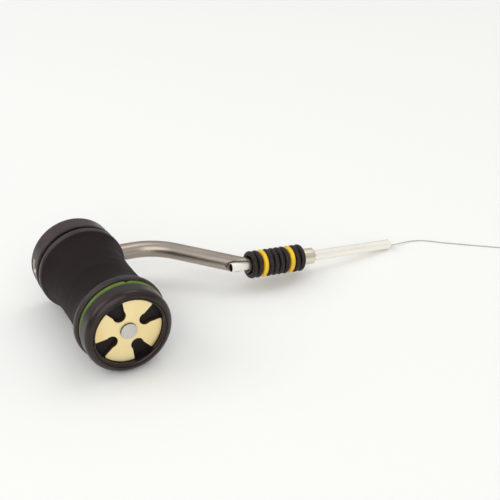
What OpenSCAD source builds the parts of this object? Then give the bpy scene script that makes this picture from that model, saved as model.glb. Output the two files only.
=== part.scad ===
// Bobbin holder for fly tying: a spool of thread turns on a short axle, and one bent
// tube carries the grip and the thin tube that the thread is laid through.
// It lies on a table, on the rims of the spool and on the tip of the thread tube.
// +X runs along the thread tube to its tip, +Y along the axle to the hub, +Z up.

/* [Spool] */
// Length of the thread spool over its flanges
spool_len = 30.2; // [26:0.2:34]
// Diameter of the spool's flanges
spool_d = 24.5; // [24.4:0.1:27]
// Thickness of each flange
spool_flange_t = 2; // [0.9:0.05:2.4]
// Bore through the spool
spool_bore_d = 8; // [7.7:0.1:8.6]
// Diameter of the spool's barrel under the thread
spool_barrel_d = 12; // [10:0.5:14]
// Diameter of the wound thread at its waist
wrap_waist_d = 21; // [16:0.5:22]
// How far the wound thread stays under the rims of the flanges
wrap_edge_drop = 0.3; // [0.1:0.05:1]

/* [Hub] */
// Diameter of the hub that holds the arm and the axle
hub_d = 23.6; // [20:0.1:23.7]
// Width of the hub along the axle
hub_w = 6.3; // [6.1:0.1:9]
// Rounding of the hub's outer edge
hub_edge_r = 1; // [0.3:0.1:1.5]
// Width of the raised rim on the hub's inner side
hub_rim_w = 1.9; // [1:0.1:3]
// How far the raised rim stands out from the hub
hub_rim_step = 0.35; // [0.1:0.05:0.4]

/* [Axle and spindle] */
// Diameter of the steel axle
axle_d = 3; // [2.5:0.1:3.2]
// Outside diameter of the bushes that run on the axle
bush_d = 5; // [4.6:0.1:5.2]
// Length of each bush
bush_len = 5; // [3:0.5:6]
// Outside diameter of the spindle that the spool slides onto
spindle_d = 7; // [6.8:0.1:7.2]
// Diameter of the spindle's end flange, which the spool is pushed against
spindle_flange_d = 16; // [12:0.5:20]
// Thickness of the spindle's end flange
spindle_flange_t = 0.85; // [0.6:0.05:1.5]
// Thickness of the washer between the hub and the spindle
washer_t = 0.4; // [0.3:0.05:1]
// Diameter of the washer between the hub and the spindle
washer_d = 7; // [6:0.5:12]
// Section of the two rings that grip the bore of the spool
spindle_ring_t = 1; // [0.9:0.05:1.1]

/* [End cap] */
// Diameter of the rubber tyre of the end cap
cap_d = 23.34; // [22.6:0.1:24.2]
// Width of the tyre along the axle
cap_w = 5; // [4.6:0.1:7]
// Rounding of the tyre's front edge
cap_edge_r = 1.8; // [1:0.1:2.2]
// Thickness of the tyre over the core that it is stretched on
tyre_wall = 1.87; // [1.7:0.01:2.1]
// How far the green ring stands out beyond the tyre
green_ring_proud = 0.08; // [0:0.02:0.3]
// Section of the green ring
green_ring_t = 1.45; // [1:0.05:2]
// Length of the stem that plugs into the spindle
stem_len = 8.3; // [7:0.1:10]
// Outside diameter of the stem
stem_d = 4.9; // [4.5:0.05:4.9]
// Section of the small ring that holds the stem in the spindle
stem_ring_t = 0.6; // [0.5:0.05:0.65]

/* [Drag wheel] */
// How much smaller the four-spoke brass wheel is than the tyre, on the radius
wheel_margin = 2.72; // [2.6:0.02:3.3]
// Thickness of the wheel
wheel_t = 1.2; // [0.8:0.05:1.6]
// How far the wheel lies behind the tyre's front edge
wheel_recess = 1.55; // [1.2:0.05:1.9]
// Width of a notch between two spokes, at the rim
notch_mouth_w = 5.2; // [4:0.1:6]
// Width of a notch at its round bottom
notch_bottom_w = 3.4; // [2.6:0.1:3.6]
// Distance of a notch's bottom from the centre
notch_reach = 3.45; // [3.2:0.05:4.5]
// Angle of the first notch above the +X side
notch_angle = 23.4; // [0:0.2:90]
// Diameter of the drag screw's head in the wheel
screw_head_d = 4.3; // [3.8:0.1:5]
// Diameter of the drag screw's shank
screw_d = 3; // [2.4:0.1:3]

/* [Arm] */
// Outside diameter of the bent arm tube
arm_d = 4.76; // [4:0.02:5]
// Wall of the arm tube
arm_wall = 0.8; // [0.5:0.05:0.8]
// Downward slope of the arm where it leaves the hub
arm_slope = 5; // [2:0.1:7]
// Distance of the first elbow from the axle
elbow_hub = 23.6; // [22:0.1:26]
// Distance of the second elbow from the axle
elbow_grip = 43.6; // [42:0.1:46]
// Bend radius of the elbow near the hub
elbow_hub_r = 16.5; // [12:0.5:18]
// Bend radius of the elbow behind the grip
elbow_grip_r = 5; // [4:0.5:7]
// Distance of the arm's open front end from the axle
arm_reach = 66.3; // [65:0.1:72]

/* [Thread tube] */
// Outside diameter of the thread tube
tube_d = 3; // [2.6:0.05:3]
// Diameter of its rear part, which is glued into the arm
tube_seat_d = 2.68; // [2.5:0.02:2.68]
// Bore of the thread tube
tube_bore_d = 2.2; // [1.6:0.05:2.2]
// Distance of the thread tube's rear end from the axle
tube_rear = 39; // [37:0.1:41]
// Distance of the thread tube's tip from the axle
tube_reach = 94.1; // [85:0.1:105]
// Height of the thread tube's line above the axle
tube_rise = 1.38; // [0:0.02:2]

/* [Grip] */
// Section of the rubber rings of the grip
grip_ring_t = 1.56; // [1.2:0.02:1.74]
// Distance from one grip ring to the next
grip_pitch = 1.76; // [1.76:0.02:1.9]

/* [Hidden] */

$fn = 72;

// Clearances: between pieces that turn or slide, and between pieces that are fixed together
slip = 0.05;
fit = 0.02;
// How far a cutting shape runs past the face it cuts
over = 1;

// Small sizes of the single pieces
hub_inner_edge_r = 0.4;
hub_rim_edge_r = 0.3;
hub_skin_t = 0.6;
spool_rim_r = 0.8;
spindle_ring_inset = 4;
clip_t = 0.4;
clip_wall = 0.8;
clip_groove_depth = 0.3;
clip_inset = 1;
clip_gap_angle = 60;
cap_lip_w = 1.95;
cap_mouth_gap = 0.2;
cap_mouth_r = 0.7;
cap_back_r = 0.5;
stem_ring_inset = 2.2;
axle_to_stem = 0.6;
pad_len = 2.2;
spring_wire_d = 0.4;
spring_turns = 5;
spring_pitch = 0.6;
screw_recess = 0.35;
wheel_edge = 0.12;
tube_tip_r = 0.3;
arm_end_r = 0.3;
exit_gap = 0.3;
tube_shoulder_gap = 0.1;
arm_rear_inset = 0.05;
joint_gap = 0.1;
joint_len = 0.4;
joint_step = 0.01;
wrap_power = 3;
wrap_steps = 32;
arc_steps = 8;

// Radii
hub_r = hub_d / 2;
hub_rim_r = hub_r + hub_rim_step;
spool_r = spool_d / 2;
axle_r = axle_d / 2;
bush_r = bush_d / 2;
spindle_r = spindle_d / 2;
cap_r = cap_d / 2;
cap_core_r = cap_r - tyre_wall;
green_ring_r = cap_r + green_ring_proud;
stem_r = stem_d / 2;
wheel_r = cap_r - wheel_margin;
screw_r = screw_d / 2;
screw_head_r = screw_head_d / 2;
arm_r = arm_d / 2;
arm_bore_r = arm_r - arm_wall;
tube_r = tube_d / 2;
tube_seat_r = tube_seat_d / 2;
tube_bore_r = tube_bore_d / 2;

// The stack along the axle, from the hub's outer face towards the end cap
arm_w = hub_w / 2;
washer_w = hub_w;
spindle_w = washer_w + washer_t + slip;
spool_w = spindle_w + spindle_flange_t + slip;
spool_end_w = spool_w + spool_len;
cap_core_w = spool_end_w + slip;
green_ring_w = spool_end_w + slip;
tyre_w = green_ring_w + green_ring_t + slip;
cap_end_w = tyre_w + cap_w;
half_w = cap_end_w / 2;
cap_lip_back_w = cap_end_w - cap_lip_w;
wheel_front_w = cap_end_w - wheel_recess;
wheel_back_w = wheel_front_w - wheel_t;
stem_tip_w = cap_core_w - stem_len;
axle_end_w = stem_tip_w - axle_to_stem;
clip_w = axle_end_w - clip_inset - clip_t;
bush_near_end_w = clip_w - slip;
pad_w = axle_end_w + slip;
spring_w = pad_w + pad_len + slip;
spring_len = spring_turns * spring_pitch + spring_wire_d;
screw_tip_w = spring_w + spring_len + slip;
screw_bore_r = screw_r + slip;
green_seat_r = green_ring_r - green_ring_t - fit;
pocket_r = wheel_r + slip;

// Heights and slopes: the flanges and the tip of the thread tube stand on z = 0
axle_h = spool_r;
tip_h = axle_h + tube_rise;
tube_slope = asin(tip_h / norm([tube_reach, tube_r])) - atan2(tube_r, tube_reach);
tip_x = tube_reach * cos(tube_slope) + (tube_r - tube_tip_r) * sin(tube_slope);
mid_x = (tip_x - spool_r) / 2;

// Points of the arm's middle line: hub end, hub elbow, grip elbow, front end
function hub_line(s) = [s * cos(arm_slope), half_w - arm_w, axle_h - s * sin(arm_slope)];
function tube_line(s) = [s * cos(tube_slope), 0, tip_h - s * sin(tube_slope)];
arm_rear_end = hub_r - arm_rear_inset;
arm_points = [hub_line(-arm_rear_end), hub_line(elbow_hub), tube_line(elbow_grip),
    tube_line(arm_reach)];

// How far the elbow behind the grip reaches to each side of its corner; the first ring sits at its end
grip_back = setback(arm_points[2] - arm_points[1], arm_points[3] - arm_points[2], elbow_grip_r);
grip_start = elbow_grip + grip_back;

// Route of the loose thread, from inside the tip of the tube along the table
thread_d = 0.3;
thread_sides = 8;
thread_steps = 3;
thread_route = [[51.2, 0, 0.8], [52, 0, 0.79], [52.8, 0, 0.77], [54, 0, 0.73],
    [56, 0, 0.64], [58, 0, 0.52], [60, 0, 0.36], [61.8, -0.2, 0.22],
    [63.5, -0.8, 0.16], [65.2, -1.8, 0.16], [67, -3.3, 0.16], [68.8, -5, 0.16],
    [70.8, -6.7, 0.16], [73, -8.5, 0.16], [75.2, -10.3, 0.16], [77.6, -12.3, 0.16],
    [80, -14.2, 0.16], [82.6, -16.3, 0.16], [85.2, -18.2, 0.16], [87.8, -19.7, 0.16],
    [90.4, -20.8, 0.16], [93, -21.4, 0.16]];

// Points of an arc from angle a to angle b
function arc_points(cx, cy, r, a, b) =
    [for (i = [0:arc_steps]) let (t = a + (b - a) * i / arc_steps) [cx + r * cos(t), cy + r * sin(t)]];

// Unit vector, and the turning angle between two directions
function unit(v) = v / norm(v);
function turn_between(a, b) = acos(unit(a) * unit(b));

// How far before its corner a bend of radius r starts
function setback(a, b, r) = r * tan(turn_between(a, b) / 2);

// Places its children on the axle, w along the stack, with +Z towards the end cap
module on_axle(w) {
    translate([-mid_x, half_w - w, axle_h])
        rotate([90, 0, 0])
            children();
}

// Places its children on the thread tube's line, s from the axle, with +Z towards the tip
module on_tube_line(s) {
    translate([-mid_x, 0, tip_h])
        rotate([0, 90 + tube_slope, 0])
            translate([0, 0, s])
                children();
}

// A flat ring or tube with its inner and outer radius
module sleeve(r_in, r_out, len) {
    difference() {
        cylinder(r = r_out, h = len);
        translate([0, 0, -over])
            cylinder(r = r_in, h = len + 2 * over);
    }
}

// A rubber ring of round section, its section's middle in the plane z = 0
module o_ring(r_out, section) {
    rotate_extrude()
        translate([r_out - section / 2, 0])
            circle(d = section);
}

// A straight rod of radius r from point a to point b, made longer at its two ends
module rod(a, b, r, before, after) {
    dir = unit(b - a);
    translate(a - before * dir)
        rotate([0, acos(dir[2]), atan2(dir[1], dir[0])])
            cylinder(r = r, h = norm(b - a) + before + after);
}

// A straight stretch of the arm tube from point a to point b
module arm_stretch(a, b) {
    difference() {
        rod(a, b, arm_r, 0, 0);
        rod(a, b, arm_bore_r, over, over);
    }
}

// An elbow of the arm tube at corner b, on the way from a to c
module arm_elbow(a, b, c, bend_r) {
    u = unit(b - a);
    v = unit(c - b);
    n = unit(cross(u, v));
    side = cross(u, n);
    centre = b - setback(u, v, bend_r) * u - bend_r * side;
    gap_angle = atan(joint_gap / bend_r);
    multmatrix([[side[0], u[0], n[0], centre[0]],
        [side[1], u[1], n[1], centre[1]],
        [side[2], u[2], n[2], centre[2]],
        [0, 0, 0, 1]])
        rotate([0, 0, gap_angle])
            rotate_extrude(angle = turn_between(u, v) - 2 * gap_angle)
                translate([bend_r, 0])
                    difference() {
                        circle(r = arm_r);
                        circle(r = arm_bore_r);
                    }
}

// A collar that joins a straight stretch to an elbow, a hair thicker than the tube's wall
module arm_joint(at, dir) {
    difference() {
        rod(at - joint_len / 2 * dir, at + joint_len / 2 * dir, arm_r + joint_step, 0, 0);
        rod(at - joint_len / 2 * dir, at + joint_len / 2 * dir, arm_bore_r - joint_step, over, over);
    }
}

// Hub: a turned disc with a raised rim, bored across for the arm and along its middle for the axle
module hub() {
    color([0.20, 0.19, 0.18])
        difference() {
            on_axle(0)
                rotate_extrude()
                    polygon(concat([[0, 0]],
                        arc_points(hub_r - hub_edge_r, hub_edge_r, hub_edge_r, -90, 0),
                        [[hub_r, hub_w - hub_rim_w]],
                        arc_points(hub_rim_r - hub_rim_edge_r, hub_w - hub_rim_w + hub_rim_edge_r,
                            hub_rim_edge_r, -90, 0),
                        arc_points(hub_rim_r - hub_inner_edge_r, hub_w - hub_inner_edge_r,
                            hub_inner_edge_r, 0, 90),
                        [[0, hub_w]]));
            on_axle(hub_skin_t)
                cylinder(r = axle_r + fit, h = hub_w);
            translate([-mid_x, 0, 0])
                rod(hub_line(-hub_rim_r), hub_line(hub_rim_r), arm_r + fit, over, over);
        }
}

// Axle: passes through the arm inside the hub, and has a groove for its clip
module axle() {
    color([0.72, 0.72, 0.74])
        difference() {
            on_axle(hub_skin_t + fit)
                cylinder(r = axle_r, h = axle_end_w - hub_skin_t - fit);
            on_axle(clip_w - fit)
                sleeve(axle_r - clip_groove_depth, axle_r + over, clip_t + 2 * fit);
        }
}

// Washer that the spindle's flange runs against
module thrust_washer() {
    color([0.93, 0.92, 0.88])
        on_axle(washer_w)
            sleeve(axle_r + fit, washer_d / 2, washer_t);
}

// Clip that keeps the spindle on the axle, open on one side
module axle_clip() {
    inner_r = axle_r - clip_groove_depth + fit;
    outer_r = min(inner_r + clip_wall, bush_r - 2 * slip);
    color([0.6, 0.6, 0.62])
        on_axle(clip_w)
            linear_extrude(height = clip_t)
                difference() {
                    circle(r = outer_r);
                    circle(r = inner_r);
                    polygon([[0, 0],
                        2 * outer_r * [cos(clip_gap_angle / 2), sin(clip_gap_angle / 2)],
                        2 * outer_r * [cos(clip_gap_angle / 2), -sin(clip_gap_angle / 2)]]);
                }
}

// Arm: one bent tube through the hub; the thread tube leaves it through the second elbow
module arm_tube() {
    p = arm_points;
    d1 = unit(p[1] - p[0]);
    d2 = unit(p[2] - p[1]);
    d3 = unit(p[3] - p[2]);
    hub_back = setback(d1, d2, elbow_hub_r);
    front_len = arm_reach - elbow_grip - grip_back - joint_gap;
    color([0.52, 0.50, 0.47])
        difference() {
            union() {
                translate([-mid_x, 0, 0]) {
                    arm_stretch(p[0], p[1] - (hub_back + joint_gap) * d1);
                    arm_joint(p[1] - hub_back * d1, d1);
                    arm_elbow(p[0], p[1], p[2], elbow_hub_r);
                    arm_joint(p[1] + hub_back * d2, d2);
                    arm_stretch(p[1] + (hub_back + joint_gap) * d2, p[2] - (grip_back + joint_gap) * d2);
                    arm_joint(p[2] - grip_back * d2, d2);
                    arm_elbow(p[1], p[2], p[3], elbow_grip_r);
                    arm_joint(p[2] + grip_back * d3, d3);
                }
                on_tube_line(arm_reach - front_len)
                    rotate_extrude()
                        polygon(concat([[arm_bore_r, 0], [arm_r, 0]],
                            arc_points(arm_r - arm_end_r, front_len - arm_end_r, arm_end_r, 0, 90),
                            [[arm_bore_r, front_len]]));
            }
            on_tube_line(tube_rear - over)
                cylinder(r = tube_r + exit_gap, h = elbow_grip + grip_back - tube_rear + 2 * over);
            on_axle(hub_skin_t)
                cylinder(r = axle_r + fit, h = hub_w);
        }
}

// Thread tube: straight and thin, with a shoulder in front of the arm, its tip's edge rounded off
module thread_tube() {
    seat_len = arm_reach + tube_shoulder_gap - tube_rear;
    color([0.86, 0.85, 0.81])
        on_tube_line(tube_rear)
            rotate_extrude()
                polygon(concat([[tube_bore_r, 0], [tube_seat_r, 0], [tube_seat_r, seat_len], [tube_r, seat_len]],
                    arc_points(tube_r - tube_tip_r, tube_reach - tube_rear - tube_tip_r,
                        tube_tip_r, 0, 90),
                    [[tube_bore_r, tube_reach - tube_rear]]));
}

// One rubber ring of the grip; the third and the eighth are yellow
module grip_ring(i) {
    yellow = i == 3 || i == 8;
    color(yellow ? [0.95, 0.78, 0.10] : [0.08, 0.07, 0.08])
        on_tube_line(grip_start + (i - 1) * grip_pitch)
            o_ring(arm_r + fit + grip_ring_t, grip_ring_t);
}

// Spindle: the sleeve that turns with the spool
module spindle() {
    len = spool_end_w - 2 * slip - spindle_w;
    color([0.70, 0.70, 0.72])
        difference() {
            on_axle(spindle_w)
                union() {
                    cylinder(r = spindle_flange_d / 2, h = spindle_flange_t);
                    cylinder(r = spindle_r, h = len);
                }
            on_axle(spindle_w - over)
                cylinder(r = bush_r + fit, h = len + 2 * over);
            for (w = [spool_w + spindle_ring_inset, spool_end_w - spindle_ring_inset])
                on_axle(w - spindle_ring_t / 2 - fit)
                    sleeve(spindle_ring_inner_r - fit, spindle_r + over, spindle_ring_t + 2 * fit);
        }
}
spindle_ring_inner_r = spool_bore_d / 2 - slip - spindle_ring_t;

// Ring in a groove of the spindle, which grips the bore of the spool
module spindle_ring(w) {
    color([0.08, 0.07, 0.08])
        on_axle(w)
            o_ring(spool_bore_d / 2 - slip, spindle_ring_t);
}

// Bush pressed into the spindle, running on the axle
module bush(w) {
    color([0.72, 0.53, 0.28])
        on_axle(w)
            sleeve(axle_r + slip, bush_r, bush_len);
}

// Thread spool: barrel and two flanges with rounded rims
module spool() {
    bore_r = spool_bore_d / 2;
    barrel_r = spool_barrel_d / 2;
    far = spool_flange_t;
    near = spool_len - spool_flange_t;
    color([0.16, 0.15, 0.15])
        on_axle(spool_w)
            rotate_extrude()
                polygon(concat([[bore_r, 0]],
                    arc_points(spool_r - spool_rim_r, spool_rim_r, spool_rim_r, -90, 0),
                    arc_points(spool_r - spool_rim_r, far - spool_rim_r, spool_rim_r, 0, 90),
                    [[barrel_r, far], [barrel_r, near]],
                    arc_points(spool_r - spool_rim_r, near + spool_rim_r, spool_rim_r, -90, 0),
                    arc_points(spool_r - spool_rim_r, spool_len - spool_rim_r, spool_rim_r, 0, 90),
                    [[bore_r, spool_len]]));
}

// Wound thread: waisted, and nearly as high as the flanges at its ends
module thread_wrap() {
    len = spool_len - 2 * spool_flange_t - 2 * fit;
    waist_r = wrap_waist_d / 2;
    swell = spool_r - wrap_edge_drop - waist_r;
    color([0.10, 0.09, 0.09])
        on_axle(spool_w + spool_flange_t + fit)
            rotate_extrude()
                polygon(concat([[spool_barrel_d / 2 + fit, 0]],
                    [for (i = [0:wrap_steps]) let (t = i / wrap_steps)
                        [waist_r + swell * pow(abs(2 * t - 1), wrap_power), t * len]],
                    [[spool_barrel_d / 2 + fit, len]]));
}

// Core of the end cap: a disc with a pocket for the wheel, a seat for the green ring, and a stem
module cap_core() {
    groove_w = cap_core_w - stem_ring_inset;
    color([0.10, 0.09, 0.10])
        difference() {
            on_axle(0)
                rotate_extrude()
                    polygon([[screw_bore_r, stem_tip_w], [stem_r, stem_tip_w], [stem_r, cap_core_w],
                        [green_seat_r, cap_core_w], [green_seat_r, tyre_w], [cap_core_r, tyre_w],
                        [cap_core_r, cap_lip_back_w], [pocket_r, cap_lip_back_w],
                        [pocket_r, wheel_back_w - slip], [screw_bore_r, wheel_back_w - slip]]);
            on_axle(groove_w - stem_ring_t / 2 - fit)
                sleeve(bush_r - stem_ring_t - fit, stem_r + over, stem_ring_t + 2 * fit);
        }
}

// Tyre: a rubber ring stretched over the core, with a lip in front of it
module cap_tyre() {
    mouth_r = wheel_r + cap_mouth_gap;
    edge_r = min(cap_edge_r, wheel_margin - cap_mouth_gap - cap_mouth_r);
    color([0.09, 0.08, 0.09])
        on_axle(0)
            rotate_extrude()
                polygon(concat([[cap_core_r + fit, tyre_w]],
                    arc_points(cap_r - cap_back_r, tyre_w + cap_back_r, cap_back_r, -90, 0),
                    arc_points(cap_r - edge_r, cap_end_w - edge_r, edge_r, 0, 90),
                    arc_points(mouth_r + cap_mouth_r, cap_end_w - cap_mouth_r, cap_mouth_r, 90, 180),
                    [[mouth_r, cap_lip_back_w + fit], [cap_core_r + fit, cap_lip_back_w + fit]]));
}

// Green ring between the spool's flange and the tyre
module green_ring() {
    color([0.36, 0.52, 0.12])
        on_axle(green_ring_w + green_ring_t / 2)
            o_ring(green_ring_r, green_ring_t);
}

// Small ring that holds the stem in the spindle's bore
module stem_ring() {
    color([0.08, 0.07, 0.08])
        on_axle(cap_core_w - stem_ring_inset)
            o_ring(bush_r, stem_ring_t);
}

// Pad that the spring presses on the end of the axle
module drag_pad() {
    color([0.93, 0.92, 0.88])
        on_axle(pad_w)
            cylinder(r = screw_bore_r - slip, h = pad_len);
}

// Spring between the pad and the drag screw
module drag_spring() {
    wire_r = spring_wire_d / 2;
    coil_r = screw_bore_r - slip - wire_r;
    steps = spring_turns * 12;
    path = [for (i = [0:steps]) let (a = 360 * spring_turns * i / steps)
        [coil_r * cos(a), coil_r * sin(a), wire_r + spring_turns * spring_pitch * i / steps]];
    color([0.75, 0.75, 0.77])
        on_axle(spring_w)
            swept_tube(path, wire_r, 6);
}

// Drag wheel: brass, with four notches that flare towards the rim
module drag_wheel() {
    bottom_r = notch_bottom_w / 2;
    bottom_x = notch_reach + bottom_r;
    color([0.86, 0.74, 0.45])
        on_axle(wheel_back_w)
            difference() {
                rotate_extrude()
                    polygon([[0, 0], [wheel_r - wheel_edge, 0], [wheel_r, wheel_edge],
                        [wheel_r, wheel_t - wheel_edge], [wheel_r - wheel_edge, wheel_t], [0, wheel_t]]);
                translate([0, 0, -over])
                    cylinder(r = screw_head_r + fit, h = wheel_t + 2 * over);
                for (k = [0:3])
                    rotate([0, 0, notch_angle + 90 * k])
                        translate([0, 0, -over])
                            linear_extrude(height = wheel_t + 2 * over)
                                union() {
                                    translate([bottom_x, 0])
                                        circle(r = bottom_r);
                                    polygon([[bottom_x, -bottom_r], [wheel_r, -notch_mouth_w / 2],
                                        [wheel_r + over, -notch_mouth_w / 2],
                                        [wheel_r + over, notch_mouth_w / 2],
                                        [wheel_r, notch_mouth_w / 2], [bottom_x, bottom_r]]);
                                }
            }
}

// Drag screw: its head is pressed into the wheel, its tip squeezes the spring
module drag_screw() {
    color([0.78, 0.76, 0.74])
        on_axle(0)
            rotate_extrude()
                polygon([[0, screw_tip_w], [screw_r, screw_tip_w], [screw_r, wheel_back_w],
                    [screw_head_r, wheel_back_w], [screw_head_r, wheel_front_w - screw_recess],
                    [0, wheel_front_w - screw_recess]]);
}

// A closed tube of the given sides swept along a list of points
module swept_tube(path, r, sides) {
    last = len(path) - 1;
    function along(i) = unit(path[min(i + 1, last)] - path[max(i - 1, 0)]);
    function across(d) = unit(cross(d, abs(d[2]) < 0.9 ? [0, 0, 1] : [1, 0, 0]));
    points = [for (i = [0:last]) let (d = along(i), p = across(d), q = cross(d, p))
        for (k = [0:sides - 1]) let (a = 360 * k / sides)
            path[i] + r * cos(a) * p + r * sin(a) * q];
    walls = [for (i = [0:last - 1]) for (k = [0:sides - 1])
        let (m = (k + 1) % sides, a = i * sides, b = a + sides)
            each [[a + k, a + m, b + m], [a + k, b + m, b + k]]];
    start_fan = [for (k = [1:sides - 2]) [0, k + 1, k]];
    end_fan = [for (k = [1:sides - 2]) [last * sides, last * sides + k, last * sides + k + 1]];
    polyhedron(points = points, faces = [for (f = concat(walls, start_fan, end_fan)) [f[2], f[1], f[0]]]);
}

// A smooth curve through the points of a route
function curve_point(a, b, c, d, t) =
    0.5 * (2 * b + (c - a) * t + (2 * a - 5 * b + 4 * c - d) * t * t
        + (3 * b - a - 3 * c + d) * t * t * t);
function smooth_route(p, n) = let (last = len(p) - 1)
    concat([for (i = [0:last - 1]) for (k = [0:n - 1])
        curve_point(p[max(i - 1, 0)], p[i], p[i + 1], p[min(i + 2, last)], k / n)], [p[last]]);

// The loose end of the thread, lying on the table
module thread_tail() {
    color([0.55, 0.55, 0.55])
        swept_tube(smooth_route(thread_route, thread_steps), thread_d / 2, thread_sides);
}

hub();
axle();
thrust_washer();
axle_clip();
arm_tube();
thread_tube();
grip_ring(1);  // grip_ring_01
grip_ring(2);  // grip_ring_02
grip_ring(3);  // grip_ring_03
grip_ring(4);  // grip_ring_04
grip_ring(5);  // grip_ring_05
grip_ring(6);  // grip_ring_06
grip_ring(7);  // grip_ring_07
grip_ring(8);  // grip_ring_08
grip_ring(9);  // grip_ring_09
grip_ring(10);  // grip_ring_10
spindle();
bush(spindle_w);  // bush_far
bush(bush_near_end_w - bush_len);  // bush_near
spindle_ring(spool_w + spindle_ring_inset);  // spindle_ring_far
spindle_ring(spool_end_w - spindle_ring_inset);  // spindle_ring_near
spool();
thread_wrap();
cap_core();
cap_tyre();
green_ring();
stem_ring();
drag_pad();
drag_spring();
drag_wheel();
drag_screw();
thread_tail();
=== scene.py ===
import math
import bmesh
import bpy
import numpy as np
from mathutils import Matrix, Vector


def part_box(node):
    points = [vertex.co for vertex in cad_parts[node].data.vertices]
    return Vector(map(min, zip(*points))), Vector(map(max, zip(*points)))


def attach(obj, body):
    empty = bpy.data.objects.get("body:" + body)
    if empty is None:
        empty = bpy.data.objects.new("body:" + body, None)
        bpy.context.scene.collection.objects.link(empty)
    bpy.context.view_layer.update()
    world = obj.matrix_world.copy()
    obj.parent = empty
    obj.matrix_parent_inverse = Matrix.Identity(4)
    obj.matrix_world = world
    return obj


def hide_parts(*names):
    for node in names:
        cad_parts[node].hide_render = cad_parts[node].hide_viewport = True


# A bobbin holder for tying flies, lying on a pale table:
# thread spool, bent steel arm, ringed grip and thread tube.
# Lengths are metres. mm turns a size read off a drawing into metres.
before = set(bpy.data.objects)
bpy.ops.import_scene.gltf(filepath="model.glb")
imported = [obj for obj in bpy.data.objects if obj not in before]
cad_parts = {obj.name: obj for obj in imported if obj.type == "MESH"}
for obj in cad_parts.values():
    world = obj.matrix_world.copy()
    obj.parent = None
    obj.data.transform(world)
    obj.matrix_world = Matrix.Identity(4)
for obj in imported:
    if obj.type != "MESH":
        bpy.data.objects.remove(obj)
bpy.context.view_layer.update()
mm = 0.001
scene = bpy.context.scene
scene.view_settings.view_transform = "Standard"


# Camera
camera = {
    "place": (-0.109204, -0.218868, 0.153523),
    "azimuth": 27.463,      # degrees from +Y towards +X
    "elevation": 29.735,    # degrees that it looks down
    "roll": -0.6825,        # degrees
    "lens": 72.14,
    "sensor": 36.0,
    "clip": (0.01, 20),
}


# The view axes: ahead from azimuth and elevation, level and over square to it, turned by the roll.
def makeCamera():
    turn, tilt, roll = (math.radians(camera[k]) for k in ("azimuth", "elevation", "roll"))
    ahead = Vector((math.sin(turn) * math.cos(tilt), math.cos(turn) * math.cos(tilt), -math.sin(tilt)))
    level = Vector((math.cos(turn), -math.sin(turn), 0))
    over = level.cross(ahead)
    right = level * math.cos(roll) + over * math.sin(roll)
    up = over * math.cos(roll) - level * math.sin(roll)
    data = bpy.data.cameras.new("photoCamera")
    data.lens = camera["lens"]
    data.sensor_width = camera["sensor"]
    data.clip_start, data.clip_end = camera["clip"]
    cam = bpy.data.objects.new("photoCamera", data)
    cam.matrix_world = Matrix((
        (right.x, up.x, -ahead.x, camera["place"][0]),
        (right.y, up.y, -ahead.y, camera["place"][1]),
        (right.z, up.z, -ahead.z, camera["place"][2]),
        (0, 0, 0, 1)))
    scene.collection.objects.link(cam)
    scene.camera = cam


makeCamera()
print("camera set")


# Smooth shading; edges that turn by more than the angle stay hard.
def shadeSmooth(mesh, degrees=None):
    mesh.shade_smooth()
    if degrees:
        mesh.set_sharp_from_angle(angle=math.radians(degrees))


# A mesh through a grid of points. Columns close into a ring; rows close too, or end in a tip or an open edge.
def surface(name, grid, loopRows=True, tips=(None, None), sharpAt=None):
    rows, columns = grid.shape[:2]
    points = grid.reshape(-1, 3)
    index = np.arange(rows * columns).reshape(rows, columns)
    here = index if loopRows else index[:-1]
    ahead = np.roll(index, -1, axis=0) if loopRows else index[1:]
    quads = np.stack([here, np.roll(here, -1, axis=1), np.roll(ahead, -1, axis=1), ahead], axis=-1)
    quads = quads.reshape(-1, 4)
    faces = quads.tolist()
    for tip, ring, flip in ((tips[0], index[0], True), (tips[1], index[-1], False)):
        if tip is not None:
            points = np.vstack([points, np.asarray(tip)[None]])
            fan = np.stack([ring, np.roll(ring, -1), np.full(columns, len(points) - 1)], axis=-1)
            faces += (fan[:, ::-1] if flip else fan).tolist()
    a, b, c, d = np.moveaxis(points[quads] - points.mean(axis=0), 1, 0)
    if (a * (np.cross(b, c) + np.cross(c, d))).sum() < 0:      # six times the volume inside
        faces = [face[::-1] for face in faces]
    mesh = bpy.data.meshes.new(name)
    mesh.from_pydata(points.tolist(), [], faces)
    shadeSmooth(mesh, sharpAt)
    piece = bpy.data.objects.new(name, mesh)
    scene.collection.objects.link(piece)
    return piece


# An outline whose corners (x, y, radius) become arcs tangent to both sides, each arc held by a close point.
def roundedOutline(corners, arcSteps=8, holdShare=0.08):
    outline = []
    for i, (x, y, radius) in enumerate(corners):
        here = np.array([x, y])
        if radius == 0:
            outline.append(here)
            continue
        back = np.array(corners[i - 1][:2]) - here
        on = np.array(corners[(i + 1) % len(corners)][:2]) - here
        back, on = back / np.linalg.norm(back), on / np.linalg.norm(on)
        half = math.acos(np.clip(back @ on, -1, 1)) / 2
        centre = here + (back + on) / np.linalg.norm(back + on) * radius / math.sin(half)
        start, end = here + back * radius / math.tan(half), here + on * radius / math.tan(half)
        first = math.atan2(*(start - centre)[::-1])
        sweep = (math.atan2(*(end - centre)[::-1]) - first + math.pi) % (2 * math.pi) - math.pi
        angles = first + sweep * np.linspace(0, 1, arcSteps + 1)
        arc = list(centre + radius * np.stack([np.cos(angles), np.sin(angles)], axis=-1))
        hold = radius * holdShare
        outline += [start + back * hold, *arc, end + on * hold] if hold else arc
    return np.array(outline)


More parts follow.
